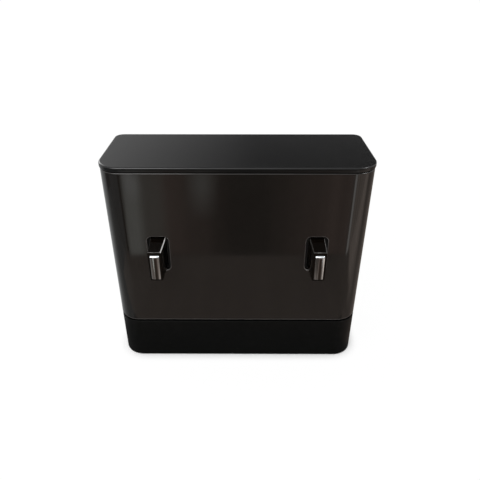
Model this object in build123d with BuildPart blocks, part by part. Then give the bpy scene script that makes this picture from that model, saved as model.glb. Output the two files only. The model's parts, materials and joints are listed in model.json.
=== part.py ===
from build123d import *
import os

# Robot vacuum charging dock, in millimetres
# +X is to the right seen from the front, the front faces -Y, +Z is up, and the floor is z = 0
# The origin is the middle of the overall footprint, with the contact fingers counted in

# Heights, from the floor up
foot_stand = 0.8
plinth_height = 26.5
plinth_gap = 0.5
sleeve_height = 96.0
cap_gap = 0.6
cap_thickness = 2.6

# Plan of the body
body_width = 144.3
body_depth = 52.3
front_corner = 12.2
rear_corner = 4.7

# Top cap
cap_overhang = 0.35
cap_edge_chamfer = 0.6
cap_lower_edge = 0.25
lip_depth = 5.0
lip_wall = 1.5
lip_clearance = 0.2

# Front sleeve
sleeve_wall = 2.4
sleeve_top_chamfer = 0.5
sleeve_bottom_chamfer = 1.2
window_width = 11.8
window_height = 21.7
window_corner = 2.8
window_edge_chamfer = 0.35

# Rear cover
cover_wall = 2.4
cover_return = 9.0
seam_gap = 0.2
tongue_wall = 1.2
tongue_reach = 4.0
tongue_root = 2.5
tongue_end_margin = 4.0
tongue_clearance = 0.15
cover_hook_wall = 1.2
cover_hook_height = 10.0
cover_hook_reach = 7.0
cover_hook_barb = 0.9
cover_hook_barb_length = 2.0
cover_hook_clearance = 0.15
cover_hook_low = 22.0
cover_hook_high = 74.0

# Plinth
plinth_wall = 2.4
plinth_deck = 2.4
plinth_foot_chamfer = 0.7
plinth_shoulder_chamfer = 0.3
plinth_boss_radius = 3.4
clamp_rib_inset = 25.0
clamp_rib_wall = 1.6
clamp_rib_margin = 3.0
lead_hole_offset = 11.0
lead_hole_width = 12.0
lead_hole_depth = 9.0

# Base plate
base_thickness = 2.5
base_clearance = 0.2
ballast_fence_height = 2.0
ballast_fence_wall = 1.4
base_hook_spread = 20.0
base_hook_length = 9.0
base_hook_wall = 1.4
base_hook_height = 8.0
base_hook_barb = 0.8
base_hook_barb_height = 1.4
base_hook_clearance = 0.15
base_ledge_reach = 1.2
base_ledge_height = 1.4

# Feet
foot_length = 18.0
foot_width = 8.0
foot_recess = 1.0
foot_corner = 1.5
foot_end_inset = 24.15
foot_side_inset = 8.0
foot_clearance = 0.15

# Ballast
ballast_end_gap = 7.0
ballast_side_gap = 11.15
ballast_thickness = 6.0
ballast_corner = 3.0
ballast_clearance = 0.3

# Inner frame
frame_wall = 2.0
frame_clearance = 0.25
frame_corner_ease = 1.0
frame_rear_gap = 1.5
deck_hook_wall = 1.5
deck_hook_length = 12.0
deck_hook_barb = 1.0
deck_hook_barb_height = 1.4
deck_hook_clearance = 0.15
rib_spread = 18.0
rib_wall = 1.6
rib_depth = 5.0

# Contact fingers
contact_edge_inset = 28.5
contact_height = 75.8
finger_reach = 13.0
nose_width = 7.1
nose_height = 17.9
shank_width = 8.3
shank_height = 18.5
finger_corner = 0.9
nose_edge_chamfer = 0.4
guide_clearance = 0.35
collar_width = 12.0
collar_height = 22.5
collar_thickness = 2.0
collar_stop_gap = 0.1
finger_travel = 7.0
pocket_width = 5.8
pocket_height = 14.8
pocket_lead = 4.0

# Contact strips
strip_width = 5.2
strip_height = 15.0
strip_drop = 2.1
tail_thickness = 0.4
strip_proud = 0.6
strip_seat = 2.0
strip_top_bend = 1.4
strip_bottom_bend = 0.7
strip_clearance = 0.1
tail_width = 3.0

# Contact guides
guide_wall = 1.4
guide_rear_wall = 1.6
guide_end_gap = 1.0
guide_corner = 1.0
flange_reach = 3.0
flange_thickness = 1.6
rail_wall = 1.5
rail_lip = 2.0
rail_lip_thickness = 1.2
rail_clearance = 0.1
latch_width = 8.0
latch_wall = 1.5
latch_height = 2.4

# Contact springs
spring_width = 4.0
spring_sheet = 0.3
spring_half_height = 3.6
spring_folds = 2
spring_bend = 0.6

# Contact terminals
terminal_width = 3.0
terminal_sheet = 0.4
terminal_gap = 0.3
terminal_tip_gap = 0.6
terminal_slot_clearance = 0.1
terminal_flange_width = 5.0
terminal_flange_height = 3.4
terminal_tab = 3.5

# Signal board
board_width = 72.0
board_height = 24.0
board_thickness = 1.6
board_middle = 104.0
board_stand = 9.0
board_hole_inset_x = 4.0
board_boss_radius = 2.6

# Infrared emitters and their baffle
emitter_radius = 2.5
emitter_length = 7.0
emitter_window_margin = 0.5
emitter_end_wall = 7.0
baffle_end_gap = 0.4
baffle_height = 12.0
baffle_cell_clearance = 0.3

# Parts on the back of the board
chip_from_hole = 14.0
chip_side = 9.0
chip_thickness = 1.2
chip_leads = 4
chip_lead_pitch = 1.9
chip_lead_width = 0.5
chip_lead_reach = 1.1
chip_lead_thickness = 0.3
capacitor_from_hole = 15.0
capacitor_radius = 4.0
capacitor_length = 10.0
header_width = 18.0
header_height = 5.0
header_depth = 6.0
header_edge_inset = 0.6
header_pitch = 5.0

# Power inlet
jack_edge_inset = 27.15
jack_height = 16.0
jack_width = 9.0
jack_depth = 14.2
jack_body_height = 11.0
jack_edge = 0.5
jack_bore_radius = 2.85
jack_bore_depth = 9.5
jack_pin_radius = 1.0
jack_pin_length = 8.5
jack_tab_width = 2.2
jack_tab_pitch = 3.1
jack_tab_thickness = 0.4
jack_tab_length = 3.0
inlet_radius = 5.25
inlet_boss_length = 2.6
inlet_boss_radius = 7.5
jack_rib_wall = 1.6
jack_rib_clearance = 0.1
jack_rib_margin = 1.0
pedestal_width = 7.0
pedestal_depth = 8.0

# Screws
head_radius = 2.4
head_height = 1.2
shank_radius = 1.2
pilot_clearance = 0.05
shank_clearance = 0.25
head_clearance = 0.3
head_sink = 0.1
base_screw_length = 12.0
board_screw_length = 7.0
pilot_spare = 1.5
base_screw_edge = 15.15

# Leads
contact_lead_radius = 0.7
supply_lead_radius = 1.1
lead_bend = 3.5
lead_run_in = 7.0
lead_drop_run = 8.1
header_run_in = 9.0

# Levels
base_bottom = foot_stand
base_top = base_bottom + base_thickness
plinth_top = base_bottom + plinth_height
deck_bottom = plinth_top - plinth_deck
sleeve_bottom = plinth_top + plinth_gap
sleeve_top = sleeve_bottom + sleeve_height
cap_bottom = sleeve_top + cap_gap
ballast_top = base_top + ballast_thickness

# Depths, with the footprint centred on the origin
front_y = (finger_reach + strip_proud - body_depth - cap_overhang) / 2
back_y = front_y + body_depth
middle_y = (front_y + back_y) / 2
seam_y = back_y - cover_return
frame_front_y = front_y + sleeve_wall
frame_back_y = frame_front_y + frame_wall
cover_inner_y = back_y - cover_wall
plinth_inner_y = {-1: front_y + plinth_wall, 1: back_y - plinth_wall}

# Places across the width, measured in from the ends of the body
contact_x = body_width / 2 - contact_edge_inset
base_screw_x = body_width / 2 - base_screw_edge
foot_x = body_width / 2 - foot_end_inset
jack_x = jack_edge_inset - body_width / 2
lead_hole_x = jack_x + lead_hole_offset

# Plan of the ballast, between the screw bosses
ballast_width = 2 * (base_screw_x - ballast_end_gap)
ballast_depth = body_depth - 2 * ballast_side_gap
clamp_rib_x = ballast_width / 2 - clamp_rib_inset
clamp_rib_length = ballast_depth - 2 * clamp_rib_margin

# Plan of the frame, inside the sleeve and the tongues of the rear cover
frame_half_width = body_width / 2 - sleeve_wall - tongue_clearance - tongue_wall - frame_clearance
frame_inner_half = frame_half_width - frame_wall
frame_corner = front_corner - sleeve_wall + frame_corner_ease
deck_hook_outer_x = frame_inner_half + deck_hook_wall
frame_end_y = cover_inner_y - frame_rear_gap
hook_outer_x = frame_inner_half - cover_hook_clearance
hook_tip_y = frame_end_y - cover_hook_reach

# Screw holes
pilot_radius = shank_radius + pilot_clearance
through_radius = shank_radius + shank_clearance
counterbore_radius = head_radius + head_clearance
counterbore_depth = head_height + head_sink

# Depths of the contact assembly at rest
nose_y = front_y - finger_reach
collar_front_y = frame_back_y + collar_stop_gap
collar_back_y = collar_front_y + collar_thickness
pocket_floor_y = front_y - pocket_lead
guide_floor_y = collar_back_y + finger_travel + guide_end_gap
guide_back_y = guide_floor_y + guide_rear_wall
guide_inner_width = collar_width + 2 * guide_clearance
guide_inner_height = collar_height + 2 * guide_clearance
guide_outer_width = guide_inner_width + 2 * guide_wall
guide_outer_height = guide_inner_height + 2 * guide_wall
rail_x = guide_outer_width / 2 + flange_reach + rail_clearance
flange_back_y = frame_back_y + flange_thickness
strip_top = contact_height + nose_height / 2 - strip_drop
strip_bottom = strip_top - strip_height
strip_seat_y = nose_y + strip_seat
terminal_top = strip_top - tail_thickness - terminal_gap
terminal_bottom = terminal_top - terminal_sheet
terminal_tip_y = pocket_floor_y + finger_travel + terminal_tip_gap
terminal_end_y = guide_back_y + terminal_sheet + terminal_tab

# Board, in front of the cover and behind the frame
board_front_y = frame_back_y + board_stand
board_back_y = board_front_y + board_thickness
board_bottom = board_middle - board_height / 2
header_bottom = board_bottom + header_edge_inset
header_middle_y = board_back_y + header_depth / 2
board_hole_x = board_width / 2 - board_hole_inset_x
baffle_width = 2 * (board_hole_x - board_boss_radius - baffle_end_gap)
emitter_spread = baffle_width / 2 - emitter_end_wall
emitter_window = 2 * (emitter_radius + emitter_window_margin)
baffle_cell = 2 * (emitter_radius + baffle_cell_clearance)
chip_x = chip_from_hole - board_hole_x
capacitor_x = board_hole_x - capacitor_from_hole

# Inlet, behind the boss of the plinth's rear wall
jack_back_y = back_y - plinth_wall - inlet_boss_length
jack_front_y = jack_back_y - jack_depth
jack_bottom = jack_height - jack_body_height / 2
tab_end_y = jack_front_y - jack_tab_length
lead_hole_y = tab_end_y - lead_drop_run

side_signs = (-1, 1)
low_centre = (Align.CENTER, Align.CENTER, Align.MIN)
high_centre = (Align.CENTER, Align.CENTER, Align.MAX)

os.makedirs("parts", exist_ok=True)


def facing(y):
    """A vertical plane at depth y, seen from the front: its x is +X and its y is +Z"""
    return Plane.XZ.offset(-y)


def plan(width, front, back, front_radius, rear_radius):
    """A footprint with one radius on its front corners and another on its rear corners"""
    with BuildSketch() as outline:
        with Locations((0, (front + back) / 2)):
            Rectangle(width, back - front)
        fillet(outline.vertices().group_by(Axis.Y)[0], front_radius)
        fillet(outline.vertices().group_by(Axis.Y)[-1], rear_radius)
    return outline.sketch


def body_plan(inset):
    """The outline of the body, moved inwards by a wall"""
    return plan(
        body_width - 2 * inset,
        front_y + inset,
        back_y - inset,
        front_corner - inset,
        rear_corner - inset,
    )


def wall_ring(wall):
    """The tube that sleeve and rear cover are cut from, with its edges eased"""
    with BuildPart() as ring:
        with BuildSketch(Plane.XY.offset(sleeve_bottom)):
            add(body_plan(0))
        extrude(amount=sleeve_height)
        chamfer(ring.faces().sort_by(Axis.Z)[-1].edges(), sleeve_top_chamfer)
        chamfer(ring.faces().sort_by(Axis.Z)[0].edges(), sleeve_bottom_chamfer)
        with BuildSketch(Plane.XY.offset(sleeve_bottom)):
            add(body_plan(wall))
        extrude(amount=sleeve_height, mode=Mode.SUBTRACT)
    return ring.part


def foot_pad(clearance):
    """The outline of a foot, grown by a clearance for its recess"""
    with BuildSketch() as pad:
        Rectangle(foot_length + 2 * clearance, foot_width + 2 * clearance)
        chamfer(pad.vertices(), foot_corner)
    return pad.sketch


def finger_outline(width, height):
    """The section of a contact finger, with its corners cut off"""
    with BuildSketch() as section:
        Rectangle(width, height)
        chamfer(section.vertices(), finger_corner)
    return section.sketch


def screw(length):
    """A pan-head screw on the Z axis: the head stands on z = 0 and the shank points down"""
    with BuildPart() as fastener:
        Cylinder(head_radius, head_height, align=low_centre)
        Cylinder(shank_radius, length, align=high_centre)
    return fastener.part


def lead(points, wire_radius):
    """A wire along straight runs joined by tangent arcs"""
    with BuildPart() as wire:
        with BuildLine() as route:
            FilletPolyline(*points, radius=lead_bend)
        with BuildSketch(Plane(origin=route.line @ 0, z_dir=route.line % 0)):
            RegularPolygon(wire_radius, 6)
        sweep()
    return wire.part


# Places that repeat
base_screw_places = [(side * base_screw_x, middle_y) for side in side_signs]
cover_hook_heights = (sleeve_bottom + cover_hook_low, sleeve_bottom + cover_hook_high)
board_hole_places = [(side * board_hole_x, board_middle) for side in side_signs]
emitter_places = {"left": -emitter_spread, "centre": 0.0, "right": emitter_spread}
foot_places = {
    "front_left": (-foot_x, front_y + foot_side_inset),
    "front_right": (foot_x, front_y + foot_side_inset),
    "rear_left": (-foot_x, back_y - foot_side_inset),
    "rear_right": (foot_x, back_y - foot_side_inset),
}


# Top cap: a thin plate past the walls, and a lip that drops inside the frame
with BuildPart() as top_cap:
    with BuildSketch(Plane.XY.offset(cap_bottom)):
        add(body_plan(-cap_overhang))
    extrude(amount=cap_thickness)
    chamfer(top_cap.faces().sort_by(Axis.Z)[-1].edges(), cap_edge_chamfer)
    chamfer(top_cap.faces().sort_by(Axis.Z)[0].edges(), cap_lower_edge)
    with BuildSketch(Plane.XY.offset(cap_bottom)):
        add(
            plan(
                2 * (frame_inner_half - lip_clearance),
                frame_back_y + lip_clearance,
                frame_end_y,
                frame_corner - frame_wall,
                rear_corner - cover_wall,
            )
        )
        add(
            plan(
                2 * (frame_inner_half - lip_clearance - lip_wall),
                frame_back_y + lip_clearance + lip_wall,
                frame_end_y - lip_wall,
                frame_corner - frame_wall - lip_wall,
                (rear_corner - cover_wall) / 2,
            ),
            mode=Mode.SUBTRACT,
        )
    extrude(amount=-lip_depth)
top_cap.part.label = "top_cap"
export_step(top_cap.part, "parts/top_cap.step")


# Front sleeve: the gloss shell round the front and the sides, with a window for each finger
with BuildPart() as front_sleeve:
    add(wall_ring(sleeve_wall))
    split(bisect_by=Plane(origin=(0, seam_y, 0), z_dir=(0, 1, 0)), keep=Keep.BOTTOM)
    with BuildSketch(facing(front_y)):
        with Locations(*[(side * contact_x, contact_height) for side in side_signs]):
            RectangleRounded(window_width, window_height, window_corner)
    extrude(amount=-2 * sleeve_wall, mode=Mode.SUBTRACT)
    front_face = front_sleeve.faces().filter_by(Axis.Y).sort_by(Axis.Y)[0]
    chamfer([edge for wire in front_face.inner_wires() for edge in wire.edges()], window_edge_chamfer)
front_sleeve.part.label = "front_sleeve"
export_step(front_sleeve.part, "parts/front_sleeve.step")


# Rear cover: the back wall with its corners, and two tongues that reach inside the sleeve
with BuildPart() as rear_cover:
    add(wall_ring(cover_wall))
    split(bisect_by=Plane(origin=(0, seam_y + seam_gap, 0), z_dir=(0, 1, 0)), keep=Keep.TOP)
    tongue_outer_x = body_width / 2 - sleeve_wall - tongue_clearance
    with BuildSketch(Plane.XY.offset(sleeve_bottom + tongue_end_margin)):
        for side in side_signs:
            with Locations((side * (tongue_outer_x - tongue_wall / 2), seam_y - tongue_reach)):
                Rectangle(
                    tongue_wall,
                    tongue_reach + seam_gap + tongue_root,
                    align=(Align.CENTER, Align.MIN),
                )
            root_half = (body_width / 2 - cover_wall / 2 - tongue_outer_x + tongue_wall) / 2
            with Locations((side * (tongue_outer_x - tongue_wall + root_half), seam_y + seam_gap)):
                Rectangle(2 * root_half, tongue_root, align=(Align.CENTER, Align.MIN))
    extrude(amount=sleeve_height - 2 * tongue_end_margin)
    # Snap hooks that catch in the side walls of the frame
    for height in cover_hook_heights:
        with BuildSketch(Plane.XY.offset(height)):
            for side in side_signs:
                hook_root_y = cover_inner_y + cover_wall / 2
                with Locations((side * (hook_outer_x - cover_hook_wall / 2), hook_root_y)):
                    Rectangle(
                        cover_hook_wall,
                        hook_root_y - hook_tip_y,
                        align=(Align.CENTER, Align.MAX),
                    )
                with Locations((side * (hook_outer_x + cover_hook_barb / 2), hook_tip_y)):
                    Rectangle(cover_hook_barb, cover_hook_barb_length, align=(Align.CENTER, Align.MIN))
        extrude(amount=cover_hook_height)
rear_cover.part.label = "rear_cover"
export_step(rear_cover.part, "parts/rear_cover.step")


# Base plinth: a deep tray turned over, with bosses, clamp ribs and the seat of the inlet
with BuildPart() as base_plinth:
    with BuildSketch(Plane.XY.offset(base_bottom)):
        add(body_plan(0))
    extrude(amount=plinth_height)
    chamfer(base_plinth.faces().sort_by(Axis.Z)[0].edges(), plinth_foot_chamfer)
    chamfer(base_plinth.faces().sort_by(Axis.Z)[-1].edges(), plinth_shoulder_chamfer)
    with BuildSketch(Plane.XY.offset(base_bottom)):
        add(body_plan(plinth_wall))
    extrude(amount=plinth_height - plinth_deck, mode=Mode.SUBTRACT)
    with BuildSketch(Plane.XY.offset(base_top)):
        with Locations(*base_screw_places):
            Circle(plinth_boss_radius)
    extrude(amount=deck_bottom - base_top + plinth_deck / 2)
    with BuildSketch(Plane.XY.offset(ballast_top)):
        with Locations(*[(side * clamp_rib_x, middle_y) for side in side_signs]):
            Rectangle(clamp_rib_wall, clamp_rib_length)
    extrude(amount=deck_bottom - ballast_top + plinth_deck / 2)
    # Ledges that the hooks of the base plate catch on
    ledge_top = base_top + base_hook_height - base_hook_barb_height - base_hook_clearance
    with BuildSketch(Plane.XY.offset(ledge_top - base_ledge_height)):
        for edge, wall_y in plinth_inner_y.items():
            inward = Align.MIN if edge < 0 else Align.MAX
            for side in side_signs:
                with Locations((side * base_hook_spread, wall_y + edge * plinth_wall / 2)):
                    Rectangle(
                        base_hook_length,
                        plinth_wall / 2 + base_ledge_reach,
                        align=(Align.CENTER, inward),
                    )
    extrude(amount=base_ledge_height)
    # The boss behind the round inlet, and the ribs that hold the jack
    with BuildSketch(facing(back_y - plinth_wall / 2)):
        with Locations((jack_x, jack_height)):
            Circle(inlet_boss_radius)
    extrude(amount=plinth_wall / 2 + inlet_boss_length)
    with BuildSketch(Plane.XY.offset(jack_bottom + jack_rib_margin)):
        rib_x = jack_width / 2 + jack_rib_clearance + jack_rib_wall / 2
        for side in side_signs:
            with Locations((jack_x + side * rib_x, back_y - plinth_wall / 2)):
                Rectangle(
                    jack_rib_wall,
                    back_y - plinth_wall / 2 - jack_front_y + jack_rib_wall,
                    align=(Align.CENTER, Align.MAX),
                )
            with Locations((jack_x + side * (rib_x + jack_rib_wall / 2), jack_front_y)):
                Rectangle(
                    2 * jack_rib_wall,
                    jack_rib_wall,
                    align=(Align.MAX if side > 0 else Align.MIN, Align.MAX),
                )
    extrude(amount=deck_bottom - jack_bottom - jack_rib_margin + plinth_deck / 2)
    with BuildSketch(facing(back_y)):
        with Locations((jack_x, jack_height)):
            Circle(inlet_radius)
    extrude(amount=back_y - jack_back_y, mode=Mode.SUBTRACT)
    # Screw holes, slots for the hooks of the frame, and the hole in the deck for the supply lead
    with BuildSketch(Plane.XY.offset(base_top)):
        with Locations(*base_screw_places):
            Circle(pilot_radius)
    extrude(amount=base_screw_length + pilot_spare, mode=Mode.SUBTRACT)
    with BuildSketch(Plane.XY.offset(deck_bottom)):
        for side in side_signs:
            with Locations((side * (deck_hook_outer_x + deck_hook_clearance), middle_y)):
                Rectangle(
                    deck_hook_wall + deck_hook_barb + 2 * deck_hook_clearance,
                    deck_hook_length + 2 * deck_hook_clearance,
                    align=(Align.MAX if side > 0 else Align.MIN, Align.CENTER),
                )
        with Locations((lead_hole_x, lead_hole_y)):
            Rectangle(lead_hole_width, lead_hole_depth)
    extrude(amount=plinth_deck, mode=Mode.SUBTRACT)
base_plinth.part.label = "base_plinth"
export_step(base_plinth.part, "parts/base_plinth.step")


# Base plate: closes the plinth, holds the feet, the ballast and the pedestal under the jack
with BuildPart() as base_plate:
    with BuildSketch(Plane.XY.offset(base_bottom)):
        add(body_plan(plinth_wall + base_clearance))
    extrude(amount=base_thickness)
    with BuildSketch(Plane.XY.offset(base_top)):
        with Locations((0, middle_y)):
            fence_gap = 2 * ballast_clearance
            fence = fence_gap + 2 * ballast_fence_wall
            Rectangle(ballast_width + fence, ballast_depth + fence)
            Rectangle(ballast_width + fence_gap, ballast_depth + fence_gap, mode=Mode.SUBTRACT)
    extrude(amount=ballast_fence_height)
    with BuildSketch(Plane.XY.offset(base_top)):
        with Locations((jack_x, (jack_front_y + jack_back_y) / 2)):
            Rectangle(pedestal_width, pedestal_depth)
    extrude(amount=jack_bottom - base_top)
    # Hooks along the front and the rear edge, each with a barb at its top
    for edge, wall_y in plinth_inner_y.items():
        outer_y = wall_y - edge * (base_ledge_reach + base_hook_clearance)
        inward = Align.MIN if edge < 0 else Align.MAX
        outward = Align.MAX if edge < 0 else Align.MIN
        with BuildSketch(Plane.XY.offset(base_top)):
            with Locations(*[(side * base_hook_spread, outer_y) for side in side_signs]):
                Rectangle(base_hook_length, base_hook_wall, align=(Align.CENTER, inward))
        extrude(amount=base_hook_height)
        with BuildSketch(Plane.XY.offset(base_top + base_hook_height - base_hook_barb_height)):
            with Locations(*[(side * base_hook_spread, outer_y) for side in side_signs]):
                Rectangle(base_hook_length, base_hook_barb, align=(Align.CENTER, outward))
        extrude(amount=base_hook_barb_height)
    with BuildSketch(Plane.XY.offset(base_bottom)):
        with Locations(*foot_places.values()):
            add(foot_pad(foot_clearance))
    extrude(amount=foot_recess, mode=Mode.SUBTRACT)
    with BuildSketch(Plane.XY.offset(base_bottom)):
        with Locations(*base_screw_places):
            Circle(counterbore_radius)
    extrude(amount=counterbore_depth, mode=Mode.SUBTRACT)
    with BuildSketch(Plane.XY.offset(base_bottom)):
        with Locations(*base_screw_places):
            Circle(through_radius)
    extrude(amount=base_thickness, mode=Mode.SUBTRACT)
base_plate.part.label = "base_plate"
export_step(base_plate.part, "parts/base_plate.step")


# Ballast: a steel plate, cut out round the pedestal
with BuildPart() as ballast_plate:
    with BuildSketch(Plane.XY.offset(base_top)):
        with Locations((0, middle_y)):
            RectangleRounded(ballast_width, ballast_depth, ballast_corner)
        notch_front_y = (jack_front_y + jack_back_y) / 2 - pedestal_depth / 2 - ballast_clearance
        with Locations((jack_x, notch_front_y)):
            Rectangle(
                pedestal_width + 2 * ballast_clearance,
                ballast_depth,
                align=(Align.CENTER, Align.MIN),
                mode=Mode.SUBTRACT,
            )
    extrude(amount=ballast_thickness)
ballast_plate.part.label = "ballast_plate"
export_step(ballast_plate.part, "parts/ballast_plate.step")


# Feet: rubber pads in the recesses of the base plate
for place, centre in foot_places.items():
    with BuildPart() as foot:
        with BuildSketch():
            with Locations(centre):
                add(foot_pad(0))
        extrude(amount=foot_stand + foot_recess)
    foot.part.label = f"foot_{place}"
    export_step(foot.part, f"parts/foot_{place}.step")


# Inner frame: a wall behind the sleeve with its two sides, bosses, rails, hooks and ribs
with BuildPart() as inner_frame:
    with BuildSketch(Plane.XY.offset(plinth_top)):
        add(plan(2 * frame_half_width, frame_front_y, frame_end_y, frame_corner, frame_wall / 2))
        add(
            plan(
                2 * frame_inner_half,
                frame_back_y,
                back_y + body_depth,
                frame_corner - frame_wall,
                frame_corner - frame_wall,
            ),
            mode=Mode.SUBTRACT,
        )
    extrude(amount=cap_bottom - plinth_top)
    with BuildSketch(facing(frame_front_y + frame_wall / 2)):
        with Locations(*board_hole_places):
            Circle(board_boss_radius)
    extrude(amount=-(board_front_y - frame_front_y - frame_wall / 2))
    # Rails that hold the flanges of the contact guides, with a shelf below and a latch above
    with BuildSketch(Plane.XY.offset(contact_height - guide_outer_height / 2)):
        for side in side_signs:
            for edge in side_signs:
                web_x = side * contact_x + edge * rail_x
                inward = Align.MAX if edge > 0 else Align.MIN
                outward = Align.MIN if edge > 0 else Align.MAX
                with Locations((web_x, frame_back_y - frame_wall / 2)):
                    Rectangle(
                        rail_wall,
                        frame_wall / 2 + flange_thickness + rail_lip_thickness,
                        align=(outward, Align.MIN),
                    )
                with Locations((web_x + edge * rail_wall, flange_back_y)):
                    Rectangle(rail_wall + rail_lip, rail_lip_thickness, align=(inward, Align.MIN))
    extrude(amount=guide_outer_height)
    with BuildSketch(facing(frame_back_y - frame_wall / 2)):
        for side in side_signs:
            for rise in side_signs:
                with Locations((side * contact_x, contact_height + rise * guide_outer_height / 2)):
                    Rectangle(
                        latch_width,
                        latch_wall,
                        align=(Align.CENTER, Align.MIN if rise > 0 else Align.MAX),
                    )
    extrude(amount=-(frame_wall / 2 + latch_height))
    # Snap hooks through the deck of the plinth
    with BuildSketch(Plane.XY.offset(deck_bottom - deck_hook_barb_height)):
        for side in side_signs:
            with Locations((side * frame_inner_half, middle_y)):
                Rectangle(
                    deck_hook_wall + deck_hook_barb,
                    deck_hook_length,
                    align=(Align.MIN if side > 0 else Align.MAX, Align.CENTER),
                )
    extrude(amount=deck_hook_barb_height)
    with BuildSketch(Plane.XY.offset(deck_bottom)):
        for side in side_signs:
            with Locations((side * frame_inner_half, middle_y)):
                Rectangle(
                    deck_hook_wall,
                    deck_hook_length,
                    align=(Align.MIN if side > 0 else Align.MAX, Align.CENTER),
                )
    extrude(amount=plinth_deck + frame_wall)
    with BuildSketch(Plane.XY.offset(plinth_top)):
        with Locations(*[(side * rib_spread, frame_front_y + frame_wall / 2) for side in side_signs]):
            Rectangle(rib_wall, rib_depth + frame_wall / 2, align=(Align.CENTER, Align.MIN))
    extrude(amount=board_bottom - plinth_top)
    # Windows for the fingers and for the infrared light
    with BuildSketch(facing(frame_front_y)):
        with Locations(*[(side * contact_x, contact_height) for side in side_signs]):
            Rectangle(shank_width + 2 * guide_clearance, shank_height + 2 * guide_clearance)
        with Locations(*[(x, board_middle) for x in emitter_places.values()]):
            Rectangle(emitter_window, emitter_window)
    extrude(amount=-frame_wall, mode=Mode.SUBTRACT)
    # Windows in the sides for the hooks of the rear cover
    for height in cover_hook_heights:
        with BuildSketch(Plane.XY.offset(height - cover_hook_clearance)):
            for side in side_signs:
                frame_side_x = frame_inner_half + frame_wall / 2
                with Locations((side * frame_side_x, hook_tip_y - cover_hook_clearance)):
                    Rectangle(
                        2 * frame_wall,
                        cover_hook_barb_length + cover_hook_clearance,
                        align=(Align.CENTER, Align.MIN),
                    )
        extrude(amount=cover_hook_height + 2 * cover_hook_clearance, mode=Mode.SUBTRACT)
    with BuildSketch(facing(board_front_y)):
        with Locations(*board_hole_places):
            Circle(pilot_radius)
    extrude(amount=board_screw_length, mode=Mode.SUBTRACT)
inner_frame.part.label = "inner_frame"
export_step(inner_frame.part, "parts/inner_frame.step")


# Contact finger: a drafted nose, a straight shank, a collar behind the frame and a spring pocket
with BuildPart() as contact_finger:
    with BuildSketch(facing(nose_y)):
        with Locations((0, contact_height)):
            add(finger_outline(nose_width, nose_height))
    with BuildSketch(facing(front_y)):
        with Locations((0, contact_height)):
            add(finger_outline(shank_width, shank_height))
    loft()
    chamfer(contact_finger.faces().sort_by(Axis.Y)[0].edges(), nose_edge_chamfer)
    with BuildSketch(facing(front_y)):
        with Locations((0, contact_height)):
            add(finger_outline(shank_width, shank_height))
    extrude(amount=-(collar_back_y - front_y))
    with BuildSketch(facing(collar_front_y)):
        with Locations((0, contact_height)):
            Rectangle(collar_width, collar_height)
    extrude(amount=-collar_thickness)
    with BuildSketch(facing(collar_back_y)):
        with Locations((0, contact_height)):
            Rectangle(pocket_width, pocket_height)
    extrude(amount=collar_back_y - pocket_floor_y, mode=Mode.SUBTRACT)
    with BuildSketch(facing(nose_y)):
        with Locations((0, (strip_top + strip_bottom) / 2)):
            Rectangle(strip_width + 2 * strip_clearance, strip_height + 2 * strip_clearance)
    extrude(amount=-strip_seat, mode=Mode.SUBTRACT)
    with BuildSketch(facing(strip_seat_y)):
        with Locations((0, strip_top - tail_thickness / 2)):
            Rectangle(tail_width + 2 * strip_clearance, tail_thickness + 2 * strip_clearance)
    extrude(amount=-(pocket_floor_y - strip_seat_y), mode=Mode.SUBTRACT)


# Contact strip: a pad bent over at its top and bottom, and a tail that runs back to the wiper
with BuildPart() as contact_strip:
    strip_face_y = nose_y - strip_proud
    with BuildSketch(Plane.YZ.offset(-strip_width / 2)) as strip_side:
        with Locations((strip_face_y, strip_bottom)):
            Rectangle(strip_seat_y - strip_face_y, strip_height, align=(Align.MIN, Align.MIN))
        fillet(strip_side.vertices().group_by(Axis.X)[0].sort_by(Axis.Y)[-1], strip_top_bend)
        fillet(strip_side.vertices().group_by(Axis.X)[0].sort_by(Axis.Y)[0], strip_bottom_bend)
    extrude(amount=strip_width)
    with BuildSketch(facing(strip_seat_y)):
        with Locations((0, strip_top - tail_thickness / 2)):
            Rectangle(tail_width, tail_thickness)
    extrude(amount=-(collar_back_y - strip_seat_y))


# Contact spring: a folded leaf between the floor of the pocket and the rear wall of the guide
with BuildPart() as contact_spring:
    leaf_start_y = pocket_floor_y + spring_sheet / 2
    leaf_end_y = guide_floor_y - spring_sheet / 2
    fold_pitch = (leaf_end_y - leaf_start_y) / spring_folds
    with BuildSketch(Plane.YZ.offset(-spring_width / 2)):
        with BuildLine() as leaf:
            fold_points = [(leaf_start_y, contact_height - spring_half_height)]
            for fold in range(spring_folds + 1):
                rise = 1 if fold % 2 == 0 else -1
                fold_y = leaf_start_y + fold * fold_pitch
                fold_points.append((fold_y, contact_height + rise * spring_half_height))
            last_rise = -1 if spring_folds % 2 == 0 else 1
            fold_points.append((leaf_end_y, contact_height + last_rise * spring_half_height))
            FilletPolyline(*fold_points, radius=spring_bend)
        trace(leaf.line, line_width=spring_sheet)
    extrude(amount=spring_width)


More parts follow.
